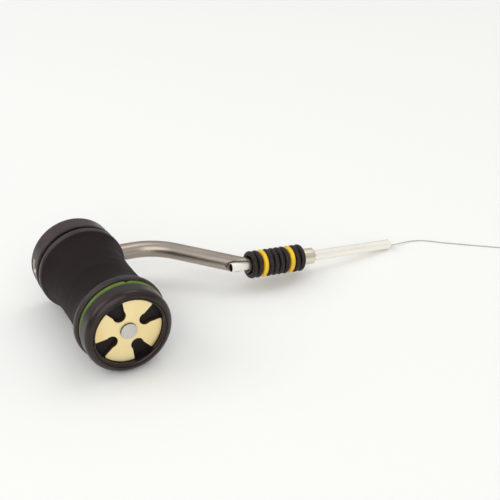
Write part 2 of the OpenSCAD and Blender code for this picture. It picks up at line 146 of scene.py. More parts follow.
# A turned piece: the outline's points (distance along the line, radius) are carried once round the line.
def turned(name, outline, line, steps=192, **more):
    start, along, side, other = line
    angle = np.linspace(0, 2 * math.pi, steps, endpoint=False)
    around = np.cos(angle)[:, None] * side + np.sin(angle)[:, None] * other
    grid = start + outline[:, 0, None, None] * along + outline[:, 1, None, None] * around[None]
    return surface(name, grid, **more)


# Takes the cutter's volume out of the piece, and the cutter out of the scene.
def cutAway(piece, cutter):
    change = piece.modifiers.new("cut", "BOOLEAN")
    change.operation = "DIFFERENCE"
    change.solver = "EXACT"
    change.object = cutter
    cut = bpy.data.meshes.new_from_object(piece.evaluated_get(bpy.context.evaluated_depsgraph_get()))
    piece.modifiers.clear()
    piece.data = cut
    bpy.data.objects.remove(cutter)


# Bores a round hole along a line, between two distances on it.
def drill(piece, line, start, end, radius, steps=64):
    rows = np.array([[start, radius], [end, radius]])
    tips = (line[0] + start * line[1], line[0] + end * line[1])
    cutAway(piece, turned("drill", rows, line, steps, loopRows=False, tips=tips))


# A line (start, along, side, other) in the object's upright plane, which falls by so many degrees.
def fallingLine(start, degrees):
    fall = math.radians(degrees)
    along, side = np.array([math.cos(fall), 0, -math.sin(fall)]), np.array([0, 1, 0])
    return np.array(start), along, side, np.cross(along, side)


# The lines that the pieces are turned about, from the frame's own boxes
spoolLow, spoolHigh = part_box("spool")
axleX = (spoolLow.x + spoolHigh.x) / 2
axleZ = (spoolLow.z + spoolHigh.z) / 2
axleLine = tuple(np.array(v, float) for v in ((axleX, 0, axleZ), (0, 1, 0), (1, 0, 0), (0, 0, 1)))
overrun = 1 * mm                # how far a cutter starts outside the piece

tube = {
    "slope": 7.414,             # degrees that the tube falls towards its tip
    "rise": 1.38 * mm,          # height of its line above the axle
    "rear": 39.3 * mm,          # distances from the axle along the line
    "reach": 94.1 * mm,
    "radius": 1.5 * mm,
    "seatRadius": 1.34 * mm,    # of its rear part, glued into the arm
    "boreRadius": 1.1 * mm,
    "tipRounding": 0.3 * mm,
    "rearRounding": 0.06 * mm,
    "mouthRounding": 0.12 * mm,
    "shoulderGap": 0.1 * mm,    # between its shoulder and the arm's front end
    "shoulderRounding": 0.05 * mm,
}
tubeLine = fallingLine((axleX, 0, axleZ + tube["rise"]), tube["slope"])
tubeStart, tubeAlong, tubeSide, tubeOver = tubeLine


# Loose thread: the route of part.scad, from inside the tip of the tube along the table
thread = {
    "diameter": 0.3 * mm,
    "sides": 10,
    "stepsPerStretch": 6,
    "route": [(51.2, 0, 0.8), (52, 0, 0.79), (52.8, 0, 0.77), (54, 0, 0.73),
              (56, 0, 0.64), (58, 0, 0.52), (60, 0, 0.36), (61.8, -0.2, 0.22),
              (63.5, -0.8, 0.16), (65.2, -1.8, 0.16), (67, -3.3, 0.16), (68.8, -5, 0.16),
              (70.8, -6.7, 0.16), (73, -8.5, 0.16), (75.2, -10.3, 0.16), (77.6, -12.3, 0.16),
              (80, -14.2, 0.16), (82.6, -16.3, 0.16), (85.2, -18.2, 0.16), (87.8, -19.7, 0.16),
              (90.4, -20.8, 0.16), (93, -21.4, 0.16)],
}


# Catmull-Rom curve: between two points it is a cubic that passes both and leans on their neighbours.
def smoothPath(points, steps):
    p = np.array(points, float)
    before, after = np.vstack([p[:1], p[:-2]]), np.vstack([p[2:], p[-1:]])
    a, b = p[:-1], p[1:]
    t = np.linspace(0, 1, steps, endpoint=False)[None, :, None]
    curve = 0.5 * (2 * a[:, None] + (b - before)[:, None] * t
                   + (2 * before - 5 * a + 4 * b - after)[:, None] * t ** 2
                   + (3 * a - before - 3 * b + after)[:, None] * t ** 3)
    return np.vstack([curve.reshape(-1, 3), p[-1:]])


# Directions along and across a path at each of its points.
def pathFrames(path, up=(0, 0, 1)):
    along = np.gradient(path, axis=0)
    along /= np.linalg.norm(along, axis=1)[:, None]
    side = np.cross(along, np.array(up, float))
    side /= np.linalg.norm(side, axis=1)[:, None]
    return along, side, np.cross(side, along)


# A round rod along a path, closed at both ends.
def sweptRod(name, path, radius, sides):
    along, side, over = pathFrames(path)
    angle = np.linspace(0, 2 * math.pi, sides, endpoint=False)
    ring = np.cos(angle)[None, :, None] * side[:, None] + np.sin(angle)[None, :, None] * over[:, None]
    return surface(name, path[:, None] + radius * ring, loopRows=False, tips=(path[0], path[-1]), sharpAt=50)


# A rod along the smoothed route.
def makeThread():
    path = smoothPath(thread["route"], thread["stepsPerStretch"]) * mm
    piece = sweptRod("looseThread", path, thread["diameter"] / 2, thread["sides"])
    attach(piece, "arm")
    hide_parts("thread_tail")
    return piece


looseThread = makeThread()
print("loose thread laid")


# Arm: one bent tube, hollow, whose elbow is cut open where the thread tube leaves it
arm = {
    "radius": 2.38 * mm,
    "wall": 0.8 * mm,
    "slope": 5,                     # degrees that it falls where it goes through the hub
    "hubLineY": 19.05 * mm,         # the hub's middle, across the tool
    "rearEnd": -11.75 * mm,         # its open rear end, in the rim of the hub
    "elbowHub": 23.6 * mm,
    "elbowGrip": 43.6 * mm,
    "elbowHubRadius": 16.5 * mm,
    "elbowGripRadius": 5 * mm,
    "reach": 66.3 * mm,
    "frontRounding": 0.3 * mm,
    "rearRounding": 0.08 * mm,
    "frontChamfer": 0.02 * mm,
    "mouthChamfer": 0.45 * mm,      # inside the open rear end
    "exitGap": 0.4 * mm,            # beside the thread tube
    "exitReach": 3 * mm,            # how far that gap goes on past the elbow
    "openEnd": 44.4 * mm,           # where the cut-away near side of the elbow ends, behind the first ring
    "openTop": 1.5 * mm,            # its upper edge, above the tube's line
    "openRounding": 1.1 * mm,
    "openTilt": 29,                 # degrees that it faces up
    "openSide": 4 * mm,             # the cutter's reach beside, beyond and below the line
    "openBeyond": 2.2 * mm,
    "openFloor": 1 * mm,
    "openBelow": 4 * mm,
    "openSteps": 9,
    "axleRadius": 1.52 * mm,        # the axle's bore across it
    "axleEnd": 21.6 * mm,
    "lipSteps": 7,
    "columns": 96,
    "bendSteps": 22,
    "straightStep": 1.5 * mm,
}
armLine = fallingLine((axleX, arm["hubLineY"], axleZ), arm["slope"])


# Points of the arc that rounds a corner of the middle line.
def bend(before, corner, after, radius):
    u = (corner - before) / np.linalg.norm(corner - before)
    v = (after - corner) / np.linalg.norm(after - corner)
    turn = math.acos(u @ v)
    inward = v - (u @ v) * u
    inward /= np.linalg.norm(inward)
    centre = corner - radius * math.tan(turn / 2) * u + radius * inward
    angle = np.linspace(0, turn, arm["bendSteps"] + 1)[:, None]
    return centre - radius * np.cos(angle) * inward + radius * np.sin(angle) * u


# The middle line: straight stretches between four corners, with an arc at each of the two inner ones.
def armPath():
    hubStart, hubAlong = armLine[:2]
    corners = [hubStart + arm["rearEnd"] * hubAlong, hubStart + arm["elbowHub"] * hubAlong,
               tubeStart + arm["elbowGrip"] * tubeAlong, tubeStart + arm["reach"] * tubeAlong]
    first = bend(*corners[:3], arm["elbowHubRadius"])
    second = bend(*corners[1:], arm["elbowGripRadius"])

    def straight(a, b):
        count = max(2, int(np.linalg.norm(b - a) / arm["straightStep"]))
        return a + (b - a) * np.linspace(0, 1, count, endpoint=False)[:, None]

    return np.vstack([straight(corners[0], first[0]), first[:-1], straight(first[-1], second[0]),
                      second[:-1], straight(second[-1], corners[3]), corners[3][None]])


# The near and lower side of the elbow, as a row of cross-sections like an L along the tube's line.
# Their top falls off in a quarter circle at the end.
def openingCutter():
    tilt = math.radians(arm["openTilt"])
    near = -math.cos(tilt) * tubeSide + math.sin(tilt) * tubeOver
    above = math.sin(tilt) * tubeSide + math.cos(tilt) * tubeOver
    side, beyond, floor, below = arm["openSide"], -arm["openBeyond"], -arm["openFloor"], -arm["openBelow"]
    turn = np.linspace(0, math.pi / 2, arm["openSteps"])
    places = np.append(tube["rear"], arm["openEnd"] - arm["openRounding"] * (1 - np.sin(turn)))
    tops = np.append(arm["openTop"], arm["openTop"] - arm["openRounding"] * (1 - np.cos(turn)))
    across = np.array([side, 0, 0, beyond, beyond, side])[None, :, None]
    level = np.array([0, 0, floor, floor, below, below]) + tops[:, None] * np.array([1, 1, 0, 0, 0, 0])
    line = tubeStart + places[:, None, None] * tubeAlong
    middle = 0.5 * mm * near + 1.5 * floor * above      # a point inside each section
    return surface("openingCutter", line + across * near + level[..., None] * above, loopRows=False,
                   tips=(line[0, 0] + middle, line[-1, 0] + middle))


# Rings of points round the middle line: the outer wall from the rear to the front, back along the bore.
def makeArm():
    path = armPath()
    along, side, over = pathFrames(path)
    angle = np.linspace(0, 2 * math.pi, arm["columns"], endpoint=False)

    def ring(i, back, radius):
        around = np.cos(angle)[:, None] * side[i] + np.sin(angle)[:, None] * over[i]
        return (path[i] - back * along[i])[None] + radius * around

    outer, inner = arm["radius"], arm["radius"] - arm["wall"]
    quarter = np.linspace(0, math.pi / 2, arm["lipSteps"])

    # The rounded edge from the outer wall to the end face.
    def lip(i, rounding, sign):
        return [ring(i, sign * rounding * (1 - math.sin(q)), outer - rounding * (1 - math.cos(q)))
                for q in quarter]

    last = len(path) - 1
    rows = lip(0, arm["rearRounding"], -1)[::-1]
    rows += [ring(i, 0, outer) for i in range(1, last)]
    rows += lip(last, arm["frontRounding"], 1)
    rows += [ring(last, 0, inner + arm["frontChamfer"]), ring(last, arm["frontChamfer"], inner)]
    rows += [ring(i, 0, inner) for i in range(last - 1, 0, -1)]
    chamfer = arm["mouthChamfer"]
    rows += [ring(0, -chamfer, inner), ring(0, 0, inner + chamfer)]
    piece = surface("armTube", np.array(rows))
    drill(piece, tubeLine, tube["rear"] - overrun, arm["elbowGrip"] + arm["exitReach"],
          tube["seatRadius"] + arm["exitGap"], 96)
    cutAway(piece, openingCutter())
    drill(piece, axleLine, -overrun, arm["axleEnd"], arm["axleRadius"])
    shadeSmooth(piece.data, 32)
    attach(piece, "arm")
    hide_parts("arm_tube")
    return piece


# A closed outline of the stepped wall, turned about the tube's line.
def makeThreadTube():
    rear, reach, bore = tube["rear"], tube["reach"], tube["boreRadius"]
    shoulder = arm["reach"] + tube["shoulderGap"]
    corners = [(rear, tube["seatRadius"], tube["rearRounding"]), (shoulder, tube["seatRadius"], 0),
               (shoulder, tube["radius"], tube["shoulderRounding"]),
               (reach, tube["radius"], tube["tipRounding"]),
               (reach, bore, tube["mouthRounding"]), (rear, bore, 0)]
    piece = turned("threadTube", roundedOutline(corners, 6), tubeLine, 96, sharpAt=40)
    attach(piece, "arm")
    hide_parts("thread_tube")
    return piece


armTube = makeArm()
threadTube = makeThreadTube()
print("arm and thread tube bent and turned")


# Grip: ten rubber rings pushed together on the front of the arm
grip = {
    "section": 1.56 * mm,
    "pitch": 1.76 * mm,
    "start": 45.6 * mm,
    "innerRadius": 2.4 * mm,
    "yellow": (3, 8),
    "count": 10,
    "seam": 0.018 * mm,         # height of the mould line round each ring
    "lean": 0.025 * mm,         # how far a ring sits askew
    "sectionSteps": 28,
    "steps": 120,
    "seed": 11,
}


# Round section of a rubber ring: a circle, with a bell-shaped ridge where the two halves of the mould met.
def ringSection(radius, section, steps, seam, seamAngle=0.09):
    angle = np.linspace(0, 2 * math.pi, steps, endpoint=False)
    ridge = seam * np.exp(-(np.minimum(angle, 2 * math.pi - angle) / seamAngle) ** 2)
    half = section / 2 - seam + ridge
    return np.stack([half * np.sin(angle), radius - section / 2 + half * np.cos(angle)], axis=-1)


# Each ring is its section carried round the tube's line; a cosine along the line sets it a little askew.
def makeGrip():
    chance = np.random.default_rng(grip["seed"])
    rings = []
    outerRadius = grip["innerRadius"] + grip["section"]
    section = ringSection(outerRadius, grip["section"], grip["sectionSteps"], grip["seam"])
    angle = np.linspace(0, 2 * math.pi, grip["steps"], endpoint=False)
    around = np.cos(angle)[:, None] * tubeSide + np.sin(angle)[:, None] * tubeOver
    for number in range(1, grip["count"] + 1):
        lean = grip["lean"] * np.cos(angle - chance.uniform(0, 2 * math.pi)) * chance.uniform(0.3, 1)
        along = grip["start"] + (number - 1) * grip["pitch"] + section[:, 0, None] + lean[None]
        grid = tubeStart + along[..., None] * tubeAlong + section[:, 1, None, None] * around[None]
        piece = surface(f"gripRing{number:02d}", grid)
        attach(piece, "arm")
        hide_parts(f"grip_ring_{number:02d}")
        rings.append(piece)
    return rings


gripRings = makeGrip()
print("grip ringed")


# Hub: the disc that the arm goes through and the axle is fixed in
hub = {
    "radius": 11.93 * mm,
    "rimStep": 0.2 * mm,
    "rimWidth": 1.9 * mm,
    "edgeRounding": 1.15 * mm,
    "rimRounding": 0.1 * mm,
    "stepRounding": 0.06 * mm,
    "innerRounding": 0.4 * mm,
    "armRadius": 2.4 * mm,
    "armReach": 14 * mm,        # the arm's bore goes this far to both sides
    "axleRadius": 1.52 * mm,
    "axleDepth": 0.6 * mm,      # skin left over the end of the axle's bore
    "shift": -0.1 * mm,         # it sits a little off the axle's line
}


# An outline with a raised rim on its inner side, turned, then bored across and from its inner side.
def makeHub():
    low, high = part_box("hub")
    outer, rim = hub["radius"], hub["radius"] + hub["rimStep"]
    step = low.y + hub["rimWidth"]
    corners = [(low.y, 0, 0), (low.y, rim, hub["innerRounding"]), (step, rim, hub["rimRounding"]),
               (step, outer, hub["stepRounding"]), (high.y, outer, hub["edgeRounding"]), (high.y, 0, 0)]
    outline = roundedOutline(corners, 8)[1:-1]
    shift = np.array([hub["shift"], 0, 0])
    ends = [np.array((axleX, y, axleZ)) + shift for y in (low.y, high.y)]
    line = (axleLine[0] + shift, *axleLine[1:])
    piece = turned("hubDisc", outline, line, 256, loopRows=False, tips=ends, sharpAt=35)
    drill(piece, armLine, -hub["armReach"], hub["armReach"], hub["armRadius"], 96)
    drill(piece, axleLine, low.y - overrun, high.y - hub["axleDepth"], hub["axleRadius"])
    shadeSmooth(piece.data, 35)
    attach(piece, "arm")
    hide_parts("hub")
    return piece


armHub = makeHub()
print("hub turned")


# Spool and the thread wound on it
spool = {
    "radius": (spoolHigh.x - spoolLow.x) / 2,
    "flange": 2 * mm,
    "boreRadius": 4 * mm,
    "boreRounding": 0.15 * mm,
    "barrelRadius": 6 * mm,
    "rimRounding": 0.78 * mm,
}
wound = {
    "waistRadius": 10.5 * mm,
    "edgeDrop": 0.3 * mm,
    "power": 3,
    "turnPitch": 0.42 * mm,     # one lay of neighbouring turns
    "turnHeight": 0.018 * mm,
    "lumpHeight": 0.05 * mm,    # slow unevenness of the winding
    "lumpWaves": (19, 7, 41),   # radians from end to end
    "barrelGap": 0.02 * mm,
    "rows": 500,
    "steps": 180,
}


# A closed outline of barrel and flanges, turned about the axle.
def makeSpool():
    far, near = spoolHigh.y, spoolLow.y
    rim, rounding = spool["radius"], spool["rimRounding"]
    nearInner, farInner = near + spool["flange"], far - spool["flange"]
    bore = (spool["boreRadius"], spool["boreRounding"])
    corners = [(near, *bore), (near, rim, rounding), (nearInner, rim, rounding),
               (nearInner, spool["barrelRadius"], 0), (farInner, spool["barrelRadius"], 0),
               (farInner, rim, rounding), (far, rim, rounding), (far, *bore)]
    piece = turned("threadSpool", roundedOutline(corners, 8), axleLine, 256, sharpAt=50)
    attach(piece, "spool")
    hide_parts("spool")
    return piece


# Radius = waist + swell * |2t - 1|^power, plus a helix of turns and a slow unevenness of the layers.
def makeWoundThread():
    low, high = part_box("thread_wrap")
    t = np.linspace(0, 1, wound["rows"])[:, None]
    angle = np.linspace(0, 2 * math.pi, wound["steps"], endpoint=False)[None]
    length = high.y - low.y
    swell = spool["radius"] - wound["edgeDrop"] - wound["waistRadius"]
    radius = wound["waistRadius"] + swell * np.abs(2 * t - 1) ** wound["power"]
    turns = length / wound["turnPitch"]
    radius = radius - wound["turnHeight"] * (0.5 - 0.5 * np.cos(2 * math.pi * turns * t - angle))
    first, second, third = (wave * t for wave in wound["lumpWaves"])
    lumps = np.sin(first + 0.6 * np.sin(angle)) * np.sin(second + 1)
    lumps = lumps + 0.5 * np.sin(third + 2 + 0.5 * np.cos(angle))
    radius = radius - wound["lumpHeight"] * (0.6 + 0.4 * lumps) * np.sin(math.pi * t)
    y = low.y + t * length
    barrel = np.full_like(radius[:1], spool["barrelRadius"] + wound["barrelGap"])
    radius = np.concatenate([barrel, radius, barrel])
    y = np.concatenate([y[:1], y, y[-1:]]) + 0 * radius
    grid = np.stack([axleX + radius * np.cos(angle), y, axleZ + radius * np.sin(angle)], axis=-1)
    piece = surface("woundThread", grid, sharpAt=50)
    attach(piece, "spool")
    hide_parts("thread_wrap")
    return piece


threadSpool = makeSpool()
woundThread = makeWoundThread()
print("spool wound")


# End cap: rubber tyre, green ring, brass wheel and its drag screw
cap = {
    "radius": 11.67 * mm,
    "frontRounding": 1.8 * mm,
    "backRounding": 0.5 * mm,
    "mouthRadius": 9.15 * mm,
    "mouthRounding": 0.7 * mm,
    "lip": 1.95 * mm,
    "lipGap": 0.02 * mm,
    "coreRadius": 9.82 * mm,
}
greenRingSize = {
    "radius": 11.75 * mm,
    "section": 1.45 * mm,
    "seam": 0.01 * mm,
    "sectionSteps": 28,
    "steps": 360,
    "nickAngle": 80,            # degrees above the +X side
    "nickWidth": 2.2,           # degrees
    "nickDepth": 0.5 * mm,
    "sag": 0.4 * mm,            # it lies deeper in its groove below and on the left
    "highAngle": 55,            # where it doesn't, in degrees above the +X side
}
wheel = {
    "radius": 8.95 * mm,
    "mouth": 5.2 * mm,          # width of a notch at the rim
    "bottom": 3.4 * mm,         # width at its round bottom
    "reach": 3.45 * mm,         # distance of the bottom from the middle
    "firstNotch": 23.4,         # degrees above the +X side
    "cornerRounding": 0.35 * mm,
    "edge": 0.1 * mm,
    "edgeSegments": 3,
    "edgeAngle": 50,            # only edges that turn by more degrees are rounded
    "holeRadius": 2.17 * mm,
    "holeSteps": 72,
    "arcSteps": 20,
}
screw = {
    "radius": 1.5 * mm,
    "headRadius": 2.15 * mm,
    "proud": 0.55 * mm,         # how far the head stands out of the wheel
    "edge": 0.12 * mm,
    "tipRounding": 0.1 * mm,
}


# A closed outline with a fat rounded front and a lip inside it, turned about the axle.
def makeTyre():
    low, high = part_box("cap_tyre")
    lipBack = low.y + cap["lip"] - cap["lipGap"]
    corners = [(high.y, cap["coreRadius"], 0), (high.y, cap["radius"], cap["backRounding"]),
               (low.y, cap["radius"], cap["frontRounding"]), (low.y, cap["mouthRadius"], cap["mouthRounding"]),
               (lipBack, cap["mouthRadius"], 0), (lipBack, cap["coreRadius"], 0)]
    piece = turned("capTyre", roundedOutline(corners, 16), axleLine, 256, sharpAt=50)
    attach(piece, "end_cap")
    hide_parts("cap_tyre")
    return piece


# Radius = section - a bell-shaped nick on its outer side - sag, a cosine of the angle from the high place.
def makeGreenRing():
    low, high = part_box("green_ring")
    size = greenRingSize
    section = ringSection(size["radius"], size["section"], size["sectionSteps"], size["seam"])
    angle = np.linspace(0, 2 * math.pi, size["steps"], endpoint=False)
    away = (np.degrees(angle) - size["nickAngle"] + 180) % 360 - 180
    nick = size["nickDepth"] * np.exp(-(away / size["nickWidth"]) ** 2)
    outward = np.clip((section[:, 1] - section[:, 1].min()) / np.ptp(section[:, 1]) * 2 - 1, 0, 1)
    sag = size["sag"] * (0.5 - 0.5 * np.cos(angle - math.radians(size["highAngle"])))
    radius = section[:, 1, None] - nick[None] * outward[:, None] - sag[None]
    y = (low.y + high.y) / 2 + section[:, 0, None] + 0 * radius
    grid = np.stack([axleX + radius * np.cos(angle), y, axleZ + radius * np.sin(angle)], axis=-1)
    piece = surface("greenRing", grid)
    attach(piece, "end_cap")
    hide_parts("green_ring")
    return piece


# Rim arcs between four notches, each with straight flaring sides and a round bottom.
def wheelOutline():
    half, deep = wheel["mouth"] / 2, wheel["bottom"] / 2
    edge = math.sqrt(wheel["radius"] ** 2 - half ** 2)
    middle = wheel["reach"] + deep
    lean = math.atan2(half - deep, edge - middle)
    bottom = np.linspace(math.pi / 2 - lean, 3 * math.pi / 2 + lean, wheel["arcSteps"])
    notch = np.stack([middle + deep * np.cos(bottom), deep * np.sin(bottom)], axis=-1)
    rimHalf = math.pi / 4 - math.asin(half / wheel["radius"])
    rim = np.linspace(-rimHalf, rimHalf, wheel["arcSteps"]) - math.pi / 4
    arc = wheel["radius"] * np.stack([np.cos(rim), np.sin(rim)], axis=-1)
    corners = []
    for k in range(4):
        turn = math.radians(wheel["firstNotch"] - 90 * k)
        spin = np.array([[math.cos(turn), -math.sin(turn)], [math.sin(turn), math.cos(turn)]])
        corners += [(*point, 0) for point in notch @ spin.T]
        rimPoints = arc[::-1] @ spin.T
        corners += [(*point, wheel["cornerRounding"] if i in (0, len(rimPoints) - 1) else 0)
                    for i, point in enumerate(rimPoints)]
    return roundedOutline(corners, 5, 0)


# Drag screw: a plain stem with a round head that stands a little proud of the wheel.
def makeScrew():
    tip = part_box("drag_screw")[1].y
    low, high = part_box("drag_wheel")
    front = low.y - screw["proud"]
    corners = [(tip, 0, 0), (tip, screw["radius"], screw["tipRounding"]), (high.y, screw["radius"], 0),
               (high.y, screw["headRadius"], 0), (front, screw["headRadius"], screw["edge"]), (front, 0, 0)]
    outline = roundedOutline(corners, 6)[1:-1]
    ends = [np.array((axleX, y, axleZ)) for y in (tip, front)]
    piece = turned("dragScrew", outline, axleLine, 96, loopRows=False, tips=ends, sharpAt=40)
    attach(piece, "drag_wheel")
    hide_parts("drag_screw")
    return piece


# The flat shape between outline and round hole, filled, pushed to its thickness, its edges rounded.
def makeWheel():
    low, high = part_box("drag_wheel")
    hole = np.linspace(0, 2 * math.pi, wheel["holeSteps"], endpoint=False)
    outline = wheelOutline()
    flat = np.vstack([outline, wheel["holeRadius"] * np.stack([np.cos(hole), np.sin(hole)], axis=-1)])
    points = np.stack([axleX + flat[:, 0], np.full(len(flat), high.y), axleZ + flat[:, 1]], axis=-1)
    loops = np.split(np.arange(len(flat)), [len(outline)])
    edges = np.vstack([np.stack([np.roll(loop, 1), loop], axis=-1) for loop in loops])
    mesh = bpy.data.meshes.new("dragWheel")
    mesh.from_pydata(points.tolist(), edges.tolist(), [])
    shape = bmesh.new()
    shape.from_mesh(mesh)
    bmesh.ops.triangle_fill(shape, use_beauty=True, edges=shape.edges[:])
    grown = bmesh.ops.extrude_face_region(shape, geom=shape.faces[:])
    front = [part for part in grown["geom"] if isinstance(part, bmesh.types.BMVert)]
    bmesh.ops.translate(shape, vec=(0, low.y - high.y, 0), verts=front)
    bmesh.ops.recalc_face_normals(shape, faces=shape.faces[:])
    shape.to_mesh(mesh)
    shape.free()
    piece = bpy.data.objects.new("dragWheel", mesh)
    scene.collection.objects.link(piece)
    edge = piece.modifiers.new("edge", "BEVEL")
    edge.width = wheel["edge"]
    edge.segments = wheel["edgeSegments"]
    edge.limit_method = "ANGLE"
    edge.angle_limit = math.radians(wheel["edgeAngle"])
    shadeSmooth(mesh, wheel["edgeAngle"])
    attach(piece, "drag_wheel")
    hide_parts("drag_wheel")
    return piece


capTyre = makeTyre()
greenRing = makeGreenRing()
dragWheel = makeWheel()
dragScrew = makeScrew()
print("end cap made")


# Drag spring, hidden in the stem
spring = {"radius": 1.3 * mm, "wire": 0.4 * mm, "turns": 5, "stepsPerTurn": 24, "wireSides": 12}


# A round wire along a helix about the axle.
def makeSpring():
    low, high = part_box("drag_spring")
    angle = np.linspace(0, 2 * math.pi * spring["turns"], spring["turns"] * spring["stepsPerTurn"] + 1)
    climb = np.linspace(high.y - spring["wire"] / 2, low.y + spring["wire"] / 2, len(angle))
    radius = spring["radius"]
    path = np.stack([axleX + radius * np.cos(angle), climb, axleZ + radius * np.sin(angle)], axis=-1)
    along, side, over = pathFrames(path, (0, 1, 0))
    turn = np.linspace(0, 2 * math.pi, spring["wireSides"], endpoint=False)
    ring = np.cos(turn)[None, :, None] * side[:, None] + np.sin(turn)[None, :, None] * over[:, None]
    grid = path[:, None] + spring["wire"] / 2 * ring
    piece = surface("dragSpring", grid, loopRows=False, tips=(path[0], path[-1]), sharpAt=50)
    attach(piece, "end_cap")
    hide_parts("drag_spring")
    return piece


dragSpring = makeSpring()
print("drag spring coiled")


# A shader group with named inputs (label, kind, value) and outputs (label, kind)
def newGroup(name, inputs, outputs):
    group = bpy.data.node_groups.new(name, "ShaderNodeTree")
    for label, kind, value in inputs:
        socket = group.interface.new_socket(label, in_out="INPUT", socket_type=kind)
        if value is not None:
            socket.default_value = value
    for label, kind in outputs:
        group.interface.new_socket(label, in_out="OUTPUT", socket_type=kind)
    return group, group.nodes.new("NodeGroupInput"), group.nodes.new("NodeGroupOutput")


# A node with its settings and the values of its inputs
def addNode(tree, kind, values=None, **settings):
    node = tree.nodes.new(kind)
    for key, value in settings.items():
        setattr(node, key, value)
    for key, value in (values or {}).items():
        node.inputs[key].default_value = value
    return node


# Noise at a point; the scale is a number or another node's output
def noise(tree, vector, scale, detail=3, roughness=0.5):
    node = addNode(tree, "ShaderNodeTexNoise", {"Detail": detail, "Roughness": roughness})
    tree.links.new(vector, node.inputs["Vector"])
    if isinstance(scale, (int, float)):
        node.inputs["Scale"].default_value = scale
    else:
        tree.links.new(scale, node.inputs["Scale"])
    return node.outputs["Fac"]


# One step of arithmetic on two numbers or outputs
def mathNode(tree, operation, a, b):
    node = addNode(tree, "ShaderNodeMath", operation=operation)
    for socket, value in zip(node.inputs, (a, b)):
        if isinstance(value, (int, float)):
            socket.default_value = value
        else:
            tree.links.new(value, socket)
    return node.outputs[0]


# Fine grain: two sizes of noise, as a height and as a mask of slow changes
def buildGrain():
    group, source, out = newGroup(
        "fineGrain",
        [("Vector", "NodeSocketVector", None), ("Scale", "NodeSocketFloat", 4000.0),
         ("Slow Scale", "NodeSocketFloat", 180.0)],
        [("Height", "NodeSocketFloat"), ("Mask", "NodeSocketFloat")])
    fine = noise(group, source.outputs["Vector"], source.outputs["Scale"], 4, 0.6)
    slow = noise(group, source.outputs["Vector"], source.outputs["Slow Scale"], 3, 0.55)
    spread = addNode(group, "ShaderNodeMapRange", {"From Min": 0.35, "From Max": 0.65})
    group.links.new(slow, spread.inputs["Value"])
    group.links.new(fine, out.inputs["Height"])
    group.links.new(spread.outputs[0], out.inputs["Mask"])
    return group


# Drawn or turned marks: noise squeezed along one direction by the vector's own scale
def buildStreaks():
    group, source, out = newGroup(
        "drawnStreaks",
        [("Vector", "NodeSocketVector", None), ("Stretch", "NodeSocketVector", (1, 1, 1)),
         ("Scale", "NodeSocketFloat", 3000.0)],
        [("Height", "NodeSocketFloat"), ("Mask", "NodeSocketFloat")])
    squeeze = addNode(group, "ShaderNodeVectorMath", operation="MULTIPLY")
    group.links.new(source.outputs["Vector"], squeeze.inputs[0])
    group.links.new(source.outputs["Stretch"], squeeze.inputs[1])
    fine = noise(group, squeeze.outputs[0], source.outputs["Scale"], 3, 0.6)
    broadScale = mathNode(group, "MULTIPLY", source.outputs["Scale"], 0.2)
    broad = noise(group, squeeze.outputs[0], broadScale, 2, 0.5)
    spread = addNode(group, "ShaderNodeMapRange", {"From Min": 0.3, "From Max": 0.7})
    group.links.new(broad, spread.inputs["Value"])
    group.links.new(fine, out.inputs["Height"])
    group.links.new(spread.outputs[0], out.inputs["Mask"])
    return group


fineGrain = buildGrain()
drawnStreaks = buildStreaks()


# A material with its shader and the point in the object's own coordinates
def startMaterial(name, **sockets):
    material = bpy.data.materials.new(name)
    material.use_nodes = True
    tree = material.node_tree
    shader = tree.nodes["Principled BSDF"]
    for key, value in sockets.items():
        shader.inputs[key.replace("_", " ")].default_value = value
    where = tree.nodes.new("ShaderNodeTexCoord").outputs["Object"]
    return material, tree, shader, where


# A shared group in a material, with that material's own values
def placeGroup(tree, group, where, values):
    node = addNode(tree, "ShaderNodeGroup", node_tree=group)
    for key, value in values.items():
        node.inputs[key].default_value = value
    tree.links.new(where, node.inputs["Vector"])
    return node


# A colour between two, by the mask
def mixColours(tree, mask, first, second):
    node = addNode(tree, "ShaderNodeMix", {"A": (*first, 1), "B": (*second, 1)}, data_type="RGBA")
    tree.links.new(mask, node.inputs["Factor"])
    return node.outputs["Result"]


# The mask's 0 to 1 carried over to low to high
def spreadTo(tree, mask, low, high):
    node = addNode(tree, "ShaderNodeMapRange", {"To Min": low, "To Max": high})
    tree.links.new(mask, node.inputs["Value"])
    return node.outputs[0]


# The shader's relief from a height
def bumpFrom(tree, shader, height, strength, distance):
    node = addNode(tree, "ShaderNodeBump", {"Strength": strength, "Distance": distance})
    tree.links.new(height, node.inputs["Height"])
    tree.links.new(node.outputs[0], shader.inputs["Normal"])


# Moulded rubber or plastic: slow change of colour and gloss, fine grain as bump
def grainyMaterial(name, look):
    material, tree, shader, where = startMaterial(
        name, Specular_IOR_Level=look.get("specular", 0.5), Specular_Tint=look.get("tint", (1, 1, 1, 1)))
    grain = placeGroup(tree, fineGrain, where, {"Scale": look["grain"], "Slow Scale": look["slow"]})
    mask = grain.outputs["Mask"]
    tree.links.new(mixColours(tree, mask, look["dark"], look["light"]), shader.inputs["Base Color"])
    tree.links.new(spreadTo(tree, mask, *look["roughness"]), shader.inputs["Roughness"])
    bumpFrom(tree, shader, grain.outputs["Height"], look["bump"], look["depth"])
    return material


# Lets a material's colour fade into another, from where the distance reaches the first length to the second.
def fadeColour(tree, shader, distance, first, second, colour):
    mask = addNode(tree, "ShaderNodeMapRange", {"From Min": first, "From Max": second})
    tree.links.new(distance, mask.inputs["Value"])
    node = addNode(tree, "ShaderNodeMix", {"B": (*colour, 1)}, data_type="RGBA")
    tree.links.new(mask.outputs[0], node.inputs["Factor"])
    tree.links.new(shader.inputs["Base Color"].links[0].from_socket, node.inputs["A"])
    tree.links.new(node.outputs["Result"], shader.inputs["Base Color"])


